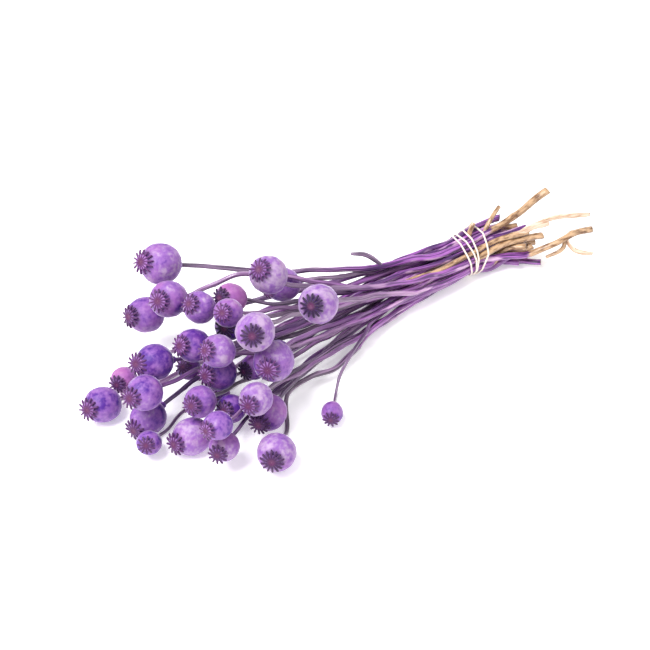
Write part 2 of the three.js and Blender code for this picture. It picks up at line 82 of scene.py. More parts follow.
# %% [markdown]
# ## The seed heads
# The capsules are from 19 to 36 mm wide, each nods its own way on its stem, and each
# took the dye in its own way. The CAD model gives every stalk as one plain solid, so
# one row of judged numbers for each head says the rest.

# %% Sizes, directions and dye
# For stalk_01 to stalk_34: the capsule's width in mm, how far its top turns sideways
# from straight ahead and tips up in degrees, and, from 0 to 9, how deep the dye is on
# the capsule, how rosy it is, and how dark the crown is.
HEADS = np.array([
    (36, 0, 30, 4, 2, 2), (32, -28, 34, 5, 3, 3), (32, -6, 26, 5, 3, 5),
    (33, -23, 50, 2, 1, 4), (30, 2, 13, 5, 1, 4), (34, -34, 34, 2, 1, 9),
    (27, -12, 45, 4, 1, 4), (27, -14, 36, 4, 7, 8), (25, -34, 40, 5, 3, 3),
    (33, -51, 33, 2, 1, 8), (34, -43, 23, 4, 1, 3), (27, -34, 39, 8, 1, 6),
    (28, -8, 36, 4, 1, 3), (29, -12, 34, 7, 2, 3), (27, -37, 30, 8, 2, 9),
    (21, -28, 44, 8, 3, 6), (30, -16, 26, 6, 2, 4), (31, 4, 19, 7, 1, 4),
    (30, -14, 18, 6, 1, 4), (23, -34, 24, 4, 6, 6), (31, -13, 21, 6, 1, 4),
    (30, -14, -8, 5, 1, 5), (21, -48, 36, 6, 1, 5), (32, -5, 8, 3, 2, 4),
    (24, -15, 17, 5, 0, 3), (27, -30, 30, 5, 2, 4), (25, -27, 34, 8, 2, 6),
    (28, -33, 23, 3, 1, 4), (31, -30, 5, 5, 4, 6), (32, -45, 21, 3, 2, 7),
    (25, -35, 13, 3, 3, 6), (19, -49, 13, 5, 3, 6), (22, -14, 16, 6, 2, 9),
    (19, -23, 24, 6, 3, 5),
])
# Crowns that sit askew: the turn and tip of the way they face, by stalk.
ASKEW = {
    1: (-12, 35), 18: (-18, 33), 19: (-28, 30), 21: (-23, 28),
    22: (-27, 12), 24: (-16, 19), 29: (-36, 16), 31: (-39, 21),
}
NODES = [f"stalk_{n + 1:02d}" for n in range(len(HEADS))]
radii = HEADS[:, 0] / 2
print("capsules from", HEADS[:, 0].min(), "to", HEADS[:, 0].max(), "mm wide")

# %% [markdown]
# ## Which way the heads face
# A turn about the vertical and a tip above the horizon make a direction. A crown grows
# square to its capsule's axis as a rule, and eight here sit askew, so capsules and
# crowns each get a list of directions.

# %% Directions
def facing(turn_and_tip):
    """Unit vector for each turn about the vertical and tip above the horizon."""
    turn, tip = np.radians(turn_and_tip).T
    return np.stack(
        [-np.cos(turn) * np.cos(tip), np.sin(turn) * np.cos(tip), np.sin(tip)], axis=1
    )


axes = facing(HEADS[:, 1:3])
crown_axes = facing(np.array([ASKEW.get(n + 1, HEADS[n, 1:3]) for n in range(len(HEADS))]))
print("crowns askew on stalks", sorted(ASKEW))

# %% [markdown]
# ## Where the heads are
# The places could be listed, but then they might differ from the CAD model's. So they
# are read from it. The middle of a crown is the solid's farthest corner in the crown's
# direction, and the capsule's centre lies a known share of its radius below that.

# %% Centres
CROWN_FOOT = 1.05  # of the crown, from the capsule's centre, in capsule radii
CROWN_TOP = 0.25  # of the crown over its foot, in capsule radii


def corners(name):
    """A CAD node's corners in mm, each kept once."""
    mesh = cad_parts[name].data
    places = np.empty(len(mesh.vertices) * 3, dtype=np.float32)
    mesh.vertices.foreach_get("co", places)
    return np.unique(np.round(places.reshape(-1, 3) / MM, 3), axis=0)


solids = [corners(name) for name in NODES]
tops = np.array([p[np.argmax(p @ way)] for p, way in zip(solids, crown_axes)])
feet = tops - CROWN_TOP * radii[:, None] * crown_axes
centres = feet - CROWN_FOOT * radii[:, None] * axes
print("capsules", len(centres), "highest", round(centres[:, 2].max(), 1), "mm")

# %% [markdown]
# ## The stems' routes
# The CAD stems are five-sided bars. Each ring of a bar is a regular pentagon, and the
# stem gets slimmer from ring to ring, so a ring is known by the distance between its
# corners: two neighbours at the side's length, two at the diagonal's. The middles of
# the rings are the stem's route. A ring that a side shoot has swallowed is left out,
# and the smooth curve runs on through its neighbours.

# %% Rings of the solid stems
RINGS = 15  # rings of a stem outside its seed head
STEM_CUT, STEM_HEAD = 2.9, 1.45  # radius at the cut end and under the head, in mm
NECK = 1.2  # end of the solid stem below the capsule's centre, in capsule radii
STEM_END = 1.05  # the same for a dressed stem, which ends inside the capsule
SAME = 0.012  # mm, two lengths that differ by less are the same


def ring_radii(head_radius):
    """Radius of each ring: from the cut radius to the head radius along a curve of
    power 0.65, and stouter for a wide head."""
    size = np.clip(0.2 + 0.8 * head_radius / 14, 0.75, 1.2)
    share = (np.arange(RINGS + 1) / RINGS) ** 0.65
    return size * (STEM_CUT + (STEM_HEAD - STEM_CUT) * share)


def route(points, centre, axis, radius):
    """The middles of the rings of a solid stem, and the radius at each."""
    sizes = ring_radii(radius)
    gap = np.linalg.norm(points[:, None] - points[None], axis=2)
    found, kept = [], []
    for k, size in enumerate(sizes[:RINGS]):
        beside = np.abs(gap - 2 * np.sin(np.pi / 5) * size) < SAME
        across = np.abs(gap - 2 * np.sin(2 * np.pi / 5) * size) < SAME
        likely = (beside.sum(1) >= 2) & (across.sum(1) >= 2)
        ring = points[likely & (((beside | across) & likely).sum(1) >= 4)]
        if len(ring) == 5:
            found.append(ring.mean(0))
            kept.append(size)
    found += [centre - NECK * radius * axis, centre - STEM_END * radius * axis]
    return np.array(found), np.array([*kept, sizes[-1], sizes[-1]])


routes = [route(*given) for given in zip(solids, centres, axes, radii)]
print("rings found in each stem:", [len(middles) - 2 for middles, _ in routes])

# %% [markdown]
# ## Even steps
# The rings are a few centimetres apart, too far for a stem that bends softly. A smooth
# curve through them, cut into short steps of one length, is fine enough.

# %% Even steps
STEPS = 110  # points along a dressed stem


def resample(middles, sizes):
    """The route again as STEPS points at even distances, with the radius at each and
    its distance from the cut end."""
    steps = np.linalg.norm(np.diff(middles, axis=0), axis=1)
    way = np.concatenate([[0], np.cumsum(steps)])
    at = np.linspace(0, way[-1], STEPS)
    return smooth(way, middles, at), np.interp(at, way, sizes), at


resampled = [resample(*given) for given in routes]
print("points along each stem:", STEPS)

# %% [markdown]
# ## Waver
# A dried stem isn't a clean curve, it wavers by about a millimetre. Noise would look
# nervous, so each stem gets two slow waves sideways and two up and down. It stays
# where it is under the band and at its head.

# %% Waver
BAND_X, BAND_Y = 138.14, 14.22  # where the elastic band's middle is, in mm
HELD_BY_BAND, HELD_BY_HEAD = 45, 35  # mm from the band and the head in which waves fade
WAVES = ((0.9, 70, 110), (0.45, 30, 45))  # height, shortest and longest length, in mm


def waver(path, way, random):
    """The path, with waves of two lengths across it. They fade to nothing at the
    band and at the seed head, so that both stay where the CAD has them."""
    free = np.clip(np.abs(path[:, 0] - BAND_X) / HELD_BY_BAND, 0, 1)
    free = free * np.clip((way[-1] - way) / HELD_BY_HEAD, 0, 1)
    level, other = frames(unit(np.gradient(path, axis=0)))
    for side in (level, other):
        for size, low, high in WAVES:
            turns = way / random.uniform(low, high) * 2 * np.pi
            path = path + side * (size * free * np.cos(turns + random.uniform(0, 6)))[:, None]
    return path


rng = np.random.default_rng(34)
stems = np.array([waver(path, way, rng) for path, _, way in resampled])
thickness = np.array([given[1] for given in resampled])
distance = np.array([given[2] for given in resampled])
print("longest stem", round(distance.max()), "mm")

# %% [markdown]
# ## Closed surfaces
# Everything here is a surface that closes on itself: rings of points from one pole to
# the other, with four-sided faces between the rings and a fan round each pole. The
# order of the corners makes every face point outwards.

# %% Closed surfaces
def shell(rings, first, last, material, **looks):
    """A closed surface through an array of rings (ring, place in the ring, xyz) and
    two poles. Looks are values for its finish, one for each ring point, and a pole
    takes the mean of the ring next to it."""
    count, sides = rings.shape[:2]
    here = np.arange(count * sides).reshape(count, sides)
    after = np.roll(here, -1, axis=1)
    quads = np.stack([here[:-1], after[:-1], after[1:], here[1:]], axis=-1)
    poles = np.repeat([count * sides, count * sides + 1], sides)
    fans = np.stack([
        poles,
        np.concatenate([after[0], here[-1]]),
        np.concatenate([here[0], after[-1]]),
    ], axis=-1)
    points = np.vstack([rings.reshape(-1, 3), first, last])
    values = {}
    for name, value in looks.items():
        value = np.broadcast_to(value, rings.shape if name == "straight" else (count, sides))
        tail = value.shape[2:]
        ends = [value[0].mean(0)[None], value[-1].mean(0)[None]]
        values[name] = np.concatenate([value.reshape(-1, *tail), *ends])
    return points, [*quads.reshape(-1, 4).tolist(), *fans.tolist()], material, values


# %% [markdown]
# ## Pieces
# A stalk grew as one thing, so its stem, capsule and crown go into one mesh. What the
# finish needs to know of a place, such as how much dye it took, rides along at the
# mesh's points, so no picture has to be wrapped round anything.

# %% Pieces
# The values at the points, with the number of parts of each: the place on the piece
# as if it were straight and upright, how far it is along a stem, up a capsule or out
# on a crown, how much dye it took, how deep the tone is, how rosy it is, and how much
# of a ray it is.
LOOKS = {"straight": 3, "share": 1, "dye": 1, "tone": 1, "rosy": 1, "ray": 1}


def piece(name, shells, materials, replaced=()):
    """One object from closed shells, in metres, shaded smooth, nowhere under the
    table, riding on the bunch, and taking the place of the CAD nodes named."""
    mesh = bpy.data.meshes.new(name)
    points, faces, index, start = [], [], [], 0
    looks = {key: [] for key in LOOKS}
    for places, corners_of, material, values in shells:
        faces += [[corner + start for corner in face] for face in corners_of]
        index += [material] * len(corners_of)
        points.append(places)
        start += len(places)
        for key, width in LOOKS.items():
            blank = np.zeros((len(places), width))
            looks[key].append(np.asarray(values.get(key, blank)).reshape(-1, width))
    places = np.vstack(points)
    places[:, 2] = np.maximum(places[:, 2], 0)
    mesh.from_pydata((places * MM).tolist(), [], faces)
    mesh.polygons.foreach_set("material_index", index)
    mesh.polygons.foreach_set("use_smooth", np.ones(len(faces), dtype=bool))
    for key, width in LOOKS.items():
        kind, field = ("FLOAT_VECTOR", "vector") if width == 3 else ("FLOAT", "value")
        made = mesh.attributes.new(key, kind, "POINT")
        made.data.foreach_set(field, np.vstack(looks[key]).astype(np.float32).ravel())
    for material in materials:
        mesh.materials.append(material)
    mesh.update()
    made = bpy.data.objects.new(name, mesh)
    bpy.context.scene.collection.objects.link(made)
    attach(made, "root")
    for node in replaced:
        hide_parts(node)
    return made


# %% [markdown]
# ## Materials: the tools
# Colours are written as the sRGB hex values that a picture editor shows, and one
# function turns them to the linear values that light is reckoned in. One function
# adds a node, with its settings and with numbers or links for its inputs.

# %% Colour and node tools
def colour(code):
    """sRGB hex to linear: below 0.04045 divide by 12.92, else the power of 2.4."""
    parts = np.array([int(code[i : i + 2], 16) for i in (1, 3, 5)]) / 255
    linear = np.where(parts <= 0.04045, parts / 12.92, ((parts + 0.055) / 1.055) ** 2.4)
    return (*linear.tolist(), 1.0)


def add(tree, kind, inputs=None, **settings):
    """A new node with its settings. An input takes a value, or a link if given one."""
    made = tree.nodes.new("ShaderNode" + kind)
    for name, value in settings.items():
        setattr(made, name, value)
    for name, value in (inputs or {}).items():
        if isinstance(value, bpy.types.NodeSocket):
            tree.links.new(value, made.inputs[name])
        else:
            made.inputs[name].default_value = value
    return made


def material(name):
    """A new material and its node tree, emptied for the nodes to come."""
    made = bpy.data.materials.new(name)
    made.use_nodes = True
    made.node_tree.nodes.clear()
    return made, made.node_tree


def blend(tree, amount, low, high):
    """The colour between low and high: low where amount is 0, high where it is 1."""
    mixed = add(tree, "Mix", {0: amount, 6: low, 7: high}, data_type="RGBA")
    return mixed.outputs[2]


def between(tree, value, low, high):
    """0 where value is below low, 1 where it is above high, and a soft step between."""
    inputs = {"Value": value, "From Min": low, "From Max": high}
    ranged = add(tree, "MapRange", inputs, interpolation_type="SMOOTHSTEP")
    return ranged.outputs["Result"]


def noise(tree, place, size, detail=2.0, stretch=(1, 1, 1)):
    """Cloudy values round 0.5, with clouds about size metres across."""
    turned = add(tree, "Mapping", {"Vector": place, "Scale": stretch})
    inputs = {"Vector": turned.outputs[0], "Scale": 1 / size, "Detail": detail}
    return add(tree, "TexNoise", inputs).outputs["Fac"]


def finish(tree, settings, height, depth):
    """The shader, with a relief whose height is depth metres, and the output."""
    bump = add(tree, "Bump", {"Height": height, "Distance": depth, "Strength": 1.0})
    shader = add(tree, "BsdfPrincipled", {**settings, "Normal": bump.outputs[0]})
    add(tree, "OutputMaterial", {"Surface": shader.outputs[0]})


def attribute(tree, name, output="Fac"):
    """A value that the mesh carries at its points."""
    return add(tree, "Attribute", attribute_name=name).outputs[output]


# %% [markdown]
# ## Material: dip-dyed capsule wall
# A ripe capsule is a thin, papery wall with a pale waxy bloom. The water-based dye
# takes unevenly: lilac where the bloom is thick, violet where it is worn, and rosy
# where the straw colour shows through. The wall is matt, and its rim looks pale.

# %% Capsule wall
WAXY = colour("#F6E9FF")  # sheen of the waxy bloom
dyed_capsule, tree = material("dip_dyed_poppy_capsule")
place = add(tree, "TexCoord").outputs["Object"]
clouds = noise(tree, place, 0.012, 2.0)
patches = noise(tree, place, 0.005, 6.0)
specks = noise(tree, place, 0.0028, 4.0)
depth = attribute(tree, "tone")
for cloud, much in ((clouds, 1.4), (patches, 1.2), (specks, 0.8)):
    swing = add(tree, "Math", {0: cloud, 1: 0.5}, operation="SUBTRACT").outputs[0]
    inputs = {0: swing, 1: much, 2: depth}
    depth = add(tree, "Math", inputs, operation="MULTIPLY_ADD").outputs[0]
lilac = blend(tree, between(tree, depth, -0.1, 0.5), colour("#B096B8"), colour("#8A5CA8"))
violet = blend(tree, between(tree, depth, 0.45, 1.05), lilac, colour("#4A1E84"))
warmth = noise(tree, place, 0.016, 1.0)
inputs = {0: warmth, 1: attribute(tree, "rosy")}
warmth = add(tree, "Math", inputs, operation="ADD").outputs[0]
rose = add(tree, "Math", {0: between(tree, warmth, 0.6, 1.5), 1: 0.8}, operation="MULTIPLY")
rosy = blend(tree, rose.outputs[0], violet, colour("#A8609E"))
share = attribute(tree, "share")
# Darker violet in a ring round the neck, under the crown: painted shade of the crown.
painted_neck_shade = blend(tree, between(tree, share, 0.82, 1.08), rosy, colour("#543070"))
finish(
    tree,
    {"Base Color": painted_neck_shade, "Roughness": 0.5, "IOR": 1.45, "Specular IOR Level": 0.4,
     "Sheen Weight": 0.8, "Sheen Roughness": 0.25, "Sheen Tint": WAXY},
    patches, 0.0006,
)
print("made", dyed_capsule.name)

# %% [markdown]
# ## Material: dyed crown
# The crown is the dried stigma: hard dark rays on a thinner disc. The rays were
# sticky, so they soaked up the most dye and are plum dark, with the disc between
# them lighter. How much of a ray a point is, the mesh says in an attribute.

# %% Crown
dyed_crown, tree = material("dip_dyed_poppy_crown")
place = add(tree, "TexCoord").outputs["Object"]
grain = noise(tree, place, 0.0012, 3.0)
tone = attribute(tree, "tone")
light_disc = blend(tree, grain, colour("#BE8FCC"), colour("#9058A6"))
disc = blend(tree, tone, light_disc, colour("#442068"))
dark_ray = blend(tree, tone, colour("#683070"), colour("#2A0D38"))
rays = blend(tree, between(tree, attribute(tree, "ray"), 0.2, 0.7), disc, dark_ray)
# The middle is wine red, with a paler dot where the rays meet.
middle = between(tree, attribute(tree, "share"), 0.05, 0.28)
centred = blend(tree, middle, colour("#5A2450"), rays)
pale = between(tree, attribute(tree, "share"), 0.0, 0.05)
dotted = blend(tree, pale, colour("#7A5472"), centred)
finish(
    tree,
    {"Base Color": dotted, "Roughness": 0.5, "Specular IOR Level": 0.35,
     "Sheen Weight": 0.3, "Sheen Roughness": 0.4, "Sheen Tint": WAXY},
    grain, 0.0003,
)
print("made", dyed_crown.name)

# %% [markdown]
# ## Material: dyed and undyed stem
# A poppy stem dries to a straw with fine ridges along it. The dye is deep violet on
# the middle of the stem, greyish under the heads, where a waxy bloom repels it, and
# missing at many cut ends, which stay straw yellow with brown specks.

# %% Stem
dyed_stem, tree = material("dip_dyed_poppy_stem")
straight = attribute(tree, "straight", "Vector")
# Noise stretched along the stem: streaks for its ridges and for painted highlight, and bands
# for painted highlight.
streaks_and_highlights = noise(tree, straight, 0.0015, 2.0, (1, 1, 0.04))
painted_highlight_bands = noise(tree, straight, 0.004, 2.0, (1, 1, 0.16))
mottle = noise(tree, straight, 0.0028, 5.0, (1, 1, 0.35))
share = attribute(tree, "share")
# Violet for most of its length, and grey towards the head. The pale stripes in the violet and
# the grey follow the stem's own streaks and are painted highlight along its ridges, and the
# pale pink bands are painted highlight.
violet = blend(tree, between(tree, streaks_and_highlights, 0.42, 0.6), colour("#401054"), colour("#AE62BE"))
rosy = blend(tree, between(tree, painted_highlight_bands, 0.54, 0.66), violet, colour("#DCB2D8"))
grey = blend(tree, between(tree, streaks_and_highlights, 0.38, 0.62), colour("#4C3A50"), colour("#927A94"))
faded = blend(tree, between(tree, share, 0.4, 0.8), rosy, grey)
# Some stems took more dye, and some look rosier.
toned = blend(tree, attribute(tree, "tone"), faded, colour("#3C1C5C"))
tinted = blend(tree, attribute(tree, "rosy"), toned, colour("#A868B4"))
# Straw with brown specks where no dye reached. The dye ends in a ragged line.
straw = blend(tree, between(tree, mottle, 0.4, 0.68), colour("#C6A27E"), colour("#6E4A30"))
dye = add(tree, "Math", {0: attribute(tree, "dye"), 1: mottle}, operation="ADD").outputs[0]
coloured = blend(tree, between(tree, dye, 0.85, 1.15), straw, tinted)
finish(
    tree,
    {"Base Color": coloured, "Roughness": 0.3, "Specular IOR Level": 0.7,
     "Sheen Weight": 0.9, "Sheen Roughness": 0.2, "Sheen Tint": colour("#FBEFFF")},
    streaks_and_highlights, 0.0009,
)
print("made", dyed_stem.name)

# %% [markdown]
# ## Material: dry leaf
# What is left of the leaves is a thin, papery, straw coloured skin with fine veins
# along it. Stretched noise draws the veins, pale and brown, and raises them.

# %% Dry leaf
dry_leaf, tree = material("dry_poppy_leaf")
straight = attribute(tree, "straight", "Vector")
veins = noise(tree, straight, 0.0015, 3.0, (1, 1, 0.15))
paper = blend(tree, between(tree, veins, 0.35, 0.7), colour("#EBD6C0"), colour("#C0977A"))
finish(tree, {"Base Color": paper, "Roughness": 0.75}, veins, 0.0003)
print("made", dry_leaf.name)

# %% [markdown]
# ## Material: natural latex
# The elastic is cream coloured and slightly dull, because latex picks up dust. It is
# nearly plain, as the real one is.

# %% Latex
latex, tree = material("natural_latex")
place = add(tree, "TexCoord").outputs["Object"]
dust = noise(tree, place, 0.002, 2.0)
cream = blend(tree, dust, colour("#F7EEE4"), colour("#E7D5C4"))
finish(tree, {"Base Color": cream, "Roughness": 0.5, "IOR": 1.52}, dust, 0.0001)
print("materials:", [m.name for m in bpy.data.materials])

# %% [markdown]
# ## The stems
# A dressed stem is a ring carried along its route. Real stems aren't round: they
# have a few blunt ridges, swell a little where leaves stood and end in a slanted cut
# with a hollow, pithy middle. All of that is a radius that depends on the place
# along the stem and the angle round it.

# %% Stem surface
STEM_SIDES = 14
HOLLOW = 0.5  # radius of the hollow at the cut, in stem radii
HOLLOW_DEPTH = 3.0  # mm
DYE_EDGE = 14  # mm along the stem from no dye to full dye
SCAR = 2.2  # mm from a leaf scar's middle to where its swelling is about a third
HEAD_SWELL = 0.16  # share that the dried skin is wider near the head than the CAD's bar
angles = np.arange(STEM_SIDES) / STEM_SIDES * 2 * np.pi


def stem_radius(way, sizes, random):
    """sizes times one plus three slow waves round the stem and a small swelling at
    each leaf scar, which is a bell curve along the stem, stronger on one side. The
    dried skin gets wider than the CAD's bar towards the head."""
    around = angles[None]
    wave = 0.07 * np.cos(2 * around + way[:, None] / 23 + random.uniform(0, 6))
    wave = wave + 0.06 * np.cos(3 * around - way[:, None] / 31 + random.uniform(0, 6))
    wave = wave + 0.05 * np.cos(5 * around + random.uniform(0, 6))
    for scar in np.arange(random.uniform(20, 60), way[-1] - 25, random.uniform(50, 80)):
        bell = np.exp(-(((way - scar) / SCAR) ** 2))[:, None]
        wave = wave + bell * (0.16 + 0.14 * np.cos(around - random.uniform(0, 6)))
    return sizes[:, None] * (1 + wave) * (1 + HEAD_SWELL * way[:, None] / way[-1])


def stem(path, sizes, way, natural, tone, rosy, random):
    """A ring of radius r(way, angle) carried along the path. The cut end is slanted:
    its points shift along the path in proportion to their place across it. Natural
    is the length at the cut end that took no dye."""
    along = unit(np.gradient(path, axis=0))
    level, other = frames(along)
    round_it = np.cos(angles)[None, :, None] * level[:, None]
    round_it = round_it + np.sin(angles)[None, :, None] * other[:, None]
    reach = stem_radius(way, sizes, random)
    skin = path[:, None] + round_it * reach[..., None]
    slant = random.uniform(-0.5, 0.5)
    cut = skin[0] + along[0] * (slant * reach[0] * np.cos(angles))[:, None]
    rim = path[0] + HOLLOW * (cut - path[0])
    deep = rim + HOLLOW_DEPTH * along[0]
    rings = np.concatenate([[deep, rim, cut], skin[1:]])
    ways = np.concatenate([[0, 0, 0], way[1:]])
    wide = np.concatenate([[reach[0]] * 3, reach[1:]])
    straight = np.stack([
        wide * np.cos(angles), wide * np.sin(angles),
        np.repeat(ways[:, None], STEM_SIDES, axis=1),
    ], axis=-1) * MM + random.uniform(0, 1)
    share = np.repeat((ways / way[-1])[:, None], STEM_SIDES, axis=1)
    dye = np.clip((ways - natural) / DYE_EDGE, 0, 1)[:, None]
    dye = np.repeat(dye, STEM_SIDES, axis=1)
    dye[:2] = 0  # the pith in the hollow stays straw
    return shell(
        rings, deep.mean(0), path[-1], 0,
        straight=straight, share=share, dye=dye, tone=tone, rosy=rosy,
    )


# %% [markdown]
# ## The capsules
# The capsule's outline goes from the ring scar under it, where the petals stood, over
# a short stalk and the round body to the neck that carries the crown. Turned round
# its axis it would be too perfect, so faint ribs follow the seams between the seed
# chambers, one to a ray, and slow waves dent it as it dried.

# %% Capsule surface
# Radius and height of the outline, in capsule radii, from the stem to the crown.
OUTLINE = np.array([
    (0.13, -1.24), (0.19, -1.205), (0.215, -1.155), (0.2, -1.11), (0.19, -1.07),
    (0.24, -1.02), (0.38, -0.94), (0.58, -0.83), (0.79, -0.64), (0.94, -0.38),
    (1.0, -0.05), (0.985, 0.26), (0.885, 0.55), (0.72, 0.785), (0.54, 0.935),
    (0.42, 1.015), (0.37, 1.07), (0.36, 1.13),
])
CAPSULE_ROWS = 38
RIB_POINTS = 5  # points round the capsule for each rib
RIB = 0.007  # height of a rib, in capsule radii, as the next two
DENTS = ((0.025, 1.4), (0.012, 2.6), (0.004, 4.5))  # height, half waves to the width
SHRINK = 0.012  # taken off all round, so that the waves hardly widen the capsule


def capsule(centre, axis, radius, rays, spin, tone, rosy, random):
    """The outline turned round the axis, times one plus a rib term, the cosine of
    rays times the angle, plus slow waves over the place. Both fade at the stem and
    at the neck, and count half along the axis."""
    bends = np.concatenate([[0], np.cumsum(np.hypot(*np.diff(OUTLINE, axis=0).T))])
    line = smooth(bends, OUTLINE, np.linspace(0, bends[-1], CAPSULE_ROWS))
    across, up = line[:, :1], line[:, 1:]
    around = (np.arange(rays * RIB_POINTS) / (rays * RIB_POINTS) * 2 * np.pi)[None]
    flat = np.stack([
        across * np.cos(around), across * np.sin(around), up + 0 * around
    ], axis=-1)
    body = np.clip((up + 1.0) / 0.4, 0, 1) * np.clip((1.06 - up) / 0.3, 0, 1)
    rib = RIB * np.cos(rays * (around - spin)) * body
    waves = 0
    for size, turns in DENTS:
        way = unit(random.normal(size=3)) * turns
        waves = waves + size * np.cos(flat @ way * np.pi / 2 + random.uniform(0, 6))
    swell = (1 + rib + (waves - SHRINK) * body)[..., None]
    level, other = frames(axis)
    basis = np.stack([level, other, axis])
    grown = flat * np.where([True, True, False], swell, 1 + (swell - 1) * 0.5)
    rings = centre + radius * (grown @ basis)
    first = centre + axis * radius * up[0]
    last = centre + axis * radius * up[-1]
    return shell(
        rings, first, last, 1,
        straight=flat * radius * MM, share=up + 0 * around, tone=tone, rosy=rosy,
    )


# %% [markdown]
# ## The crowns
# The crown is a thin disc with raised rays whose ends stick out as blunt fingers.
# It is drawn on a polar grid whose columns crowd round each ray, so that a few of
# them give a crisp ray. The grid starts under the middle, goes out along the
# underside, turns at the edge and comes back over the top.

# %% Crown surface
CROWN_PLAIN = 3.6  # mm of a crown's radius that every seed head has
CROWN_SHARE = 0.42  # of the capsule's radius that comes on top of it
RAY_HALF, RAY_SOAKED = 0.62, 0.42  # mm, half a ray's width, and what a dark one has more
NOTCH = (0.6, 0.68)  # least and most radius between two rays, for the radius at their tips
DOME, NUB = 0.2, 0.03  # rise of the middle over the foot, and of the knob on it
RIDGE, DISC = 0.05, 0.05  # height of a ray, and thickness of the disc, in capsule radii
# Columns of one ray, as shares of the way from one ray to the next.
COLUMNS = np.array([-0.5, -0.38, -0.28, -0.21, -0.15, -0.08, 0, 0.08, 0.15, 0.21, 0.28, 0.38])
# Rings of the crown: share of the way to the edge, and 0 for under, 1 for on top.
CROWN_RINGS = np.array([
    (0.3, 0), (0.6, 0), (0.85, 0), (0.97, 0.1), (1.0, 0.5), (0.975, 0.9), (0.9, 1),
    (0.78, 1), (0.65, 1), (0.52, 1), (0.4, 1), (0.29, 1), (0.19, 1), (0.1, 1), (0.04, 1),
])


def crown(foot, axis, radius, rays, spin, dark, random):
    """On top, height falls with the square of the way out and, near the edge, with
    its fifth power. Each ray adds a rounded ridge whose width is the same all along
    it. The edge is at the ray's reach on a ray and at the notch between two, with a
    round end."""
    number = np.arange(rays)
    lean = random.normal(0, 0.035, rays)
    reach = (CROWN_PLAIN / radius + CROWN_SHARE) * random.normal(1, 0.025, rays)
    place = (number + lean)[:, None] + COLUMNS
    around = (spin + place.ravel() / rays * 2 * np.pi)[None]
    off = np.tile(COLUMNS, rays)[None] / rays * 2 * np.pi  # angle from the ray
    tip = np.repeat(reach, len(COLUMNS))[None]
    thick = (RAY_HALF + RAY_SOAKED * dark) / radius
    notch = tip * random.uniform(*NOTCH)
    finger = np.clip(1 - (off * tip / (1.25 * thick)) ** 4, 0, 1) ** 0.5
    between_rays = 1 - np.abs(np.cos(off * rays / 2))
    edge = notch + (tip - notch) * finger - 0.04 * (1 - finger) * between_rays
    out = CROWN_RINGS[:, :1] * edge
    side = CROWN_RINGS[:, 1:]
    ridge = np.exp(-((out * off / thick) ** 4)) * np.clip((out - 0.03) / 0.1, 0, 1)
    far = out / reach.mean()
    dome = DOME - 0.09 * far**2 - 0.06 * far**5
    nub = NUB * np.exp(-((out / 0.05) ** 2))
    top = dome + nub + RIDGE * ridge
    under = dome - DISC - 0.03 * ridge - 0.05 * np.exp(-((out / 0.3) ** 2))
    up = under + (top - under) * side
    flat = np.stack([out * np.cos(around), out * np.sin(around), up], axis=-1)
    level, other = frames(axis)
    rings = foot + radius * (flat @ np.stack([level, other, axis]))
    first = foot + axis * radius * under[0].mean()
    last = foot + axis * radius * (DOME + NUB)
    return shell(
        rings, first, last, 2,
        straight=flat * radius * MM, share=out + 0 * up, ray=ridge, tone=dark,
    )


# %% [markdown]
# ## The 34 stalks
# Each stalk gets its own seeded random numbers for what the photograph doesn't fix:
# the number of rays, which grows with the capsule, the dents, the leaf scars and the
# slant of the cut. The bunch was dipped heads first, so the dye stops short of many
# cut ends.

# %% Make the stalks
# Where the dye stops, in mm from the cut end, on the stalks whose ends show it. With
# -10 the stalk is dyed to its very end. The other stalks draw one of four lengths.
UNDYED = {
    1: 60, 3: -10, 4: 62, 7: 128, 8: -10, 10: 58, 11: 14, 13: 40, 14: 100, 17: 34, 21: -10,
    25: -10, 28: -10, 30: -10,
}
UNDYED_ELSE = [-10, 6, 14, 28]
for i, name in enumerate(NODES):
    random = np.random.default_rng(1000 + i)
    rays = int(round(6.5 + HEADS[i, 0] / 5 + random.random()))
    spin = random.uniform(0, np.pi)
    tone, rosy, dark = HEADS[i, 3:] / 9
    stem_tone, stem_rosy = 0.7 * random.random() ** 2, 0.4 * random.random() ** 3
    natural = UNDYED.get(i + 1, random.choice(UNDYED_ELSE))
    whole = [
        stem(stems[i], thickness[i], distance[i], natural, stem_tone, stem_rosy, random),
        capsule(centres[i], axes[i], radii[i], rays, spin, tone, rosy, random),
        crown(feet[i], crown_axes[i], radii[i], rays, spin, dark, random),
    ]
    made = piece(
        f"poppy_{i + 1:02d}", whole, [dyed_stem, dyed_capsule, dyed_crown], [name]
    )
print("stalks made:", len(NODES), "with", len(made.data.polygons), "faces in the last")

# %% [markdown]
# ## Side shoots and leaf rests
# A few stems kept a broken side branch, and some cut ends kept shreds of their dry
# leaves. A branch is a stem of its own that leaves the nearest stem. A shred is a
# strip, wider than thick, that cups and curls.

# %% Shoots
BAND_PLACE = np.array([BAND_X, BAND_Y, 0.0])
SHOOT_STEPS = 30  # points along a shoot
CUP = 0.28  # how deep a shred cups, for half its width
# Root, middle and tip from the band's middle on the table and width, in mm, then
# thickness for width, whether it is a shred of leaf, and how much dye it took.
SHOOTS = [
    ((-82, 13, 43), (-96, 19, 52), (-109, 24, 56), 4.2, 1, 0, 1.0),
    ((17, -2, 42), (30, 0, 48), (43, 4, 55), 4.4, 1, 0, 0.0),
    ((8, 3, 40), (10.5, 3.5, 44), (14, 4.4, 48.5), 5, 1, 0, 0.0),
    ((84, -43, 31), (79, -47, 22), (66, -41, 14), 4, 1, 0, 0.0),
    ((55, -15, 44), (83, -29, 45), (112, -44, 47), 6, 0.25, 1, 0.0),
    ((42, -22, 38), (56, -29, 46), (71, -34, 49), 8, 0.2, 1, 0.0),
    ((86, -45, 29), (90, -53, 19), (106, -60, 13), 5, 0.3, 1, 0.0),
]


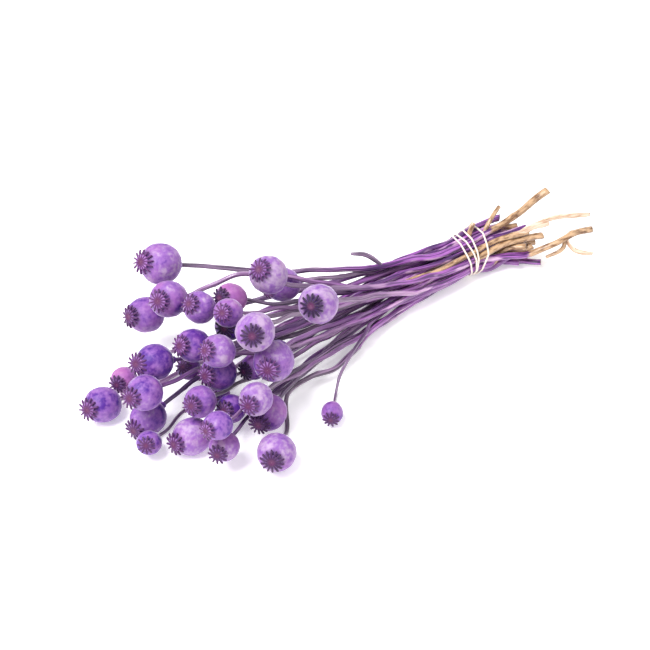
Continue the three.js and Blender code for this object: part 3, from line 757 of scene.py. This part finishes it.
def shoot(root, middle, tip, width, flat, shred, dye, random):
    """A tapering, rippled ring, flattened for a shred, carried along a curve that
    starts on the nearest stem. A shred also cups, now one way and now the other."""
    given = np.array([root, middle, tip]) + BAND_PLACE
    every = stems.reshape(-1, 3)
    start = every[np.argmin(np.linalg.norm(every - given[0], axis=1))]
    path = smooth([0, 1, 2], [start, *given[1:]], np.linspace(0, 2, SHOOT_STEPS))
    along = unit(np.gradient(path, axis=0))
    level, other = frames(along)
    way = np.linspace(0, 1, SHOOT_STEPS)[:, None]
    size = width / 2 * np.interp(way, [0, 0.25, 0.5, 0.75, 1], [0.7, 1, 1, 0.95, 0.75])
    ripple = 1 + 0.08 * np.cos(2 * angles + 5 * way) + 0.06 * np.cos(9 * way + 3 * angles)
    u, v = size * ripple * np.sin(angles), size * ripple * flat * np.cos(angles)
    if shred:
        v = v + CUP * size * np.sin(angles) ** 2 * np.sin(7 * way + 1)
    rings = path[:, None] + level[:, None] * v[..., None] + other[:, None] * u[..., None]
    length = np.linalg.norm(np.diff(path, axis=0), axis=1).sum()
    straight = np.stack([u, v, way * length + 0 * u], axis=-1) * MM
    return shell(
        rings, path[0], path[-1], 0,
        straight=straight + random.uniform(0, 1), share=0.75, dye=dye, tone=0.1,
    )


for n, given in enumerate(SHOOTS):
    random = np.random.default_rng(50 + n)
    finish_of = dry_leaf if given[5] else dyed_stem
    piece(f"shoot_{n + 1}", [shoot(*given, random)], [finish_of])
print("shoots and leaf rests:", len(SHOOTS))

# %% [markdown]
# ## The elastic band
# A thin latex band is wound several times round the stems, pulled tight. Each turn
# lies in its own slightly leaned plane, and in it follows the outline of a string
# pulled tight round the stems: in each direction it is as far out as the farthest
# stem, and straight from stem to stem.

# %% Band
BAND_HEIGHT = 20.1  # of the bundle's middle above the table, in mm
BAND_RADIUS = 0.85  # mm, of the elastic's round section, as the next
BAND_GAP = 0.1  # between the elastic and the stems
BAND_STEPS, BAND_SIDES = 180, 8  # points round the bundle and round the section
FLATTEST = 0.2  # smallest cosine for which a tangent counts in a direction
# Of each turn: its place along the bunch in mm, its lean and its swing in degrees.
TURNS = [(-4, -10, -5), (-1, -3, 4), (3, 6, -3), (9, 21, 2)]


def tight(place, across, up):
    """Reach of the stems for each angle in a plane: of all tangents to the discs
    that the stems make there, the one that comes nearest in that direction."""
    normal = np.cross(across, up)
    height = (stems - place) @ normal
    k = np.argmax(height[:, :-1] * height[:, 1:] <= 0, axis=1)
    row = np.arange(len(stems))
    share = (height[row, k] / (height[row, k] - height[row, k + 1]))[:, None]
    at = stems[row, k] * (1 - share) + stems[row, k + 1] * share - place
    size = thickness[row, k]
    around = np.arange(BAND_STEPS) / BAND_STEPS * 2 * np.pi
    reach = np.outer(np.cos(around), at @ across) + np.outer(np.sin(around), at @ up)
    reach = (reach + size).max(axis=1)
    turned = np.cos(around[:, None] - around[None])
    limit = reach[:, None] / np.maximum(turned, FLATTEST)
    limit = np.where(turned > FLATTEST, limit, np.inf)
    return around, limit.min(axis=0)


def band_turn(along, lean, swing):
    """The line in the middle of one turn, which is the tight outline moved out by the
    elastic's radius and the gap, and the direction square to the turn's plane."""
    lean, swing = np.radians(lean), np.radians(swing)
    across = np.array([-np.sin(swing), np.cos(swing), 0.0])
    up = np.array([np.sin(lean) * np.cos(swing), np.sin(lean) * np.sin(swing), np.cos(lean)])
    up = unit(up - across * (up @ across))
    place = np.array([along, 0, BAND_HEIGHT]) + BAND_PLACE
    around, reach = tight(place, across, up)
    out = np.cos(around)[:, None] * across + np.sin(around)[:, None] * up
    ring = place + out * (reach + BAND_RADIUS + BAND_GAP)[:, None]
    return ring, np.cross(across, up)


def torus(ring, normal):
    """A round section of BAND_RADIUS carried round a closed ring of points."""
    along = unit(np.roll(ring, -1, axis=0) - np.roll(ring, 1, axis=0))
    out = unit(np.cross(along, normal))
    turn = np.arange(BAND_SIDES) / BAND_SIDES * 2 * np.pi
    wide = np.cos(turn)[None, :, None] * normal * BAND_RADIUS
    deep = np.sin(turn)[None, :, None] * out[:, None] * BAND_RADIUS
    return ring[:, None] + wide + deep


def ring_shell(rings):
    """Faces of a surface that is closed both ways round."""
    count, sides = rings.shape[:2]
    here = np.arange(count * sides).reshape(count, sides)
    after, ahead = np.roll(here, -1, axis=1), np.roll(here, -1, axis=0)
    beyond = np.roll(after, -1, axis=0)
    quads = np.stack([here, after, beyond, ahead], axis=-1)
    return rings.reshape(-1, 3), quads.reshape(-1, 4).tolist(), 0, {}


turns = [ring_shell(torus(*band_turn(*given))) for given in TURNS]
piece("elastic_band", turns, [latex], ["tie_band"])
print("turns of the band:", len(turns))

# %% [markdown]
# ## The table
# The bunch lies on a sheet of matt opal acrylic, lit a little from below as on a light
# table, so its shadow is faint. One large square face is enough, as no edge shows.

# %% Table
EDGE = 12.0  # m, half the side of the sheet
floor_mesh = bpy.data.meshes.new("floor")
floor_mesh.from_pydata(
    [(-EDGE, -EDGE, 0), (EDGE, -EDGE, 0), (EDGE, EDGE, 0), (-EDGE, EDGE, 0)],
    [], [(0, 1, 2, 3)],
)
floor = bpy.data.objects.new("floor", floor_mesh)
bpy.context.scene.collection.objects.link(floor)
opal_sheet, tree = material("matt_opal_acrylic")
place = add(tree, "TexCoord").outputs["Object"]
cloudy = noise(tree, place, 0.02, 2.0)
sheet_colour = blend(tree, cloudy, colour("#FAFAFA"), colour("#F7F7F7"))
finish(
    tree,
    {"Base Color": sheet_colour, "Roughness": 0.9, "Emission Color": colour("#FFFFFF"),
     "Emission Strength": 0.35},
    cloudy, 0.00002,
)
floor_mesh.materials.append(opal_sheet)
print("table of", opal_sheet.name)

# %% [markdown]
# ## Light
# A light tent throws even, white light from all sides. A softbox over the seed heads
# is the main light and shapes them, and a weak one softens its shadows.

# %% Light
world = bpy.data.worlds.new("light_tent")
world.use_nodes = True
world.node_tree.nodes["Background"].inputs["Color"].default_value = (1, 1, 1, 1)
world.node_tree.nodes["Background"].inputs["Strength"].default_value = 0.62
bpy.context.scene.world = world


def softbox(name, place, size, power):
    """A square area light at a place in metres, aimed at the bunch's middle."""
    light = bpy.data.lights.new(name, "AREA")
    light.size, light.energy = size, power
    made = bpy.data.objects.new(name, light)
    made.location = place
    made.rotation_euler = (-Vector(place)).to_track_quat("-Z", "Y").to_euler()
    bpy.context.scene.collection.objects.link(made)


softbox("key", (-1.2, 0.1, 2.1), 1.2, 80)
softbox("fill", (1.2, -0.9, 1.4), 1.6, 8)
print("lights:", [light.name for light in bpy.data.lights])

# %% [markdown]
# ## Camera
# The camera looks down at 43 degrees from a long way off, as a product photographer
# would, so that near and far heads are about one size. The lens follows from the
# distance and from how much of the bunch one pixel shows.

# %% Camera
TARGET = np.array([-8.66, 24.02, 0.0])  # mm, what the middle of the picture shows
AZIMUTH, ELEVATION, DISTANCE = np.radians(-34), np.radians(43), 1600  # mm away
PICTURE, PIXEL = 650, 0.9  # pixels across, and mm of the bunch that one shows
back = np.array([
    np.sin(AZIMUTH) * np.cos(ELEVATION), -np.cos(AZIMUTH) * np.cos(ELEVATION),
    np.sin(ELEVATION),
])
lens = bpy.data.cameras.new("camera")
lens.sensor_width = 36
lens.lens = lens.sensor_width * DISTANCE / (PIXEL * PICTURE)
lens.clip_start, lens.clip_end = 0.05, 50
camera = bpy.data.objects.new("camera", lens)
camera.location = (TARGET + back * DISTANCE) * MM
camera.rotation_mode = "QUATERNION"
camera.rotation_quaternion = Vector(-back).to_track_quat("-Z", "Y")
bpy.context.scene.collection.objects.link(camera)
bpy.context.scene.camera = camera
bpy.context.scene.view_settings.view_transform = "Standard"
print("lens", round(lens.lens, 2), "mm")
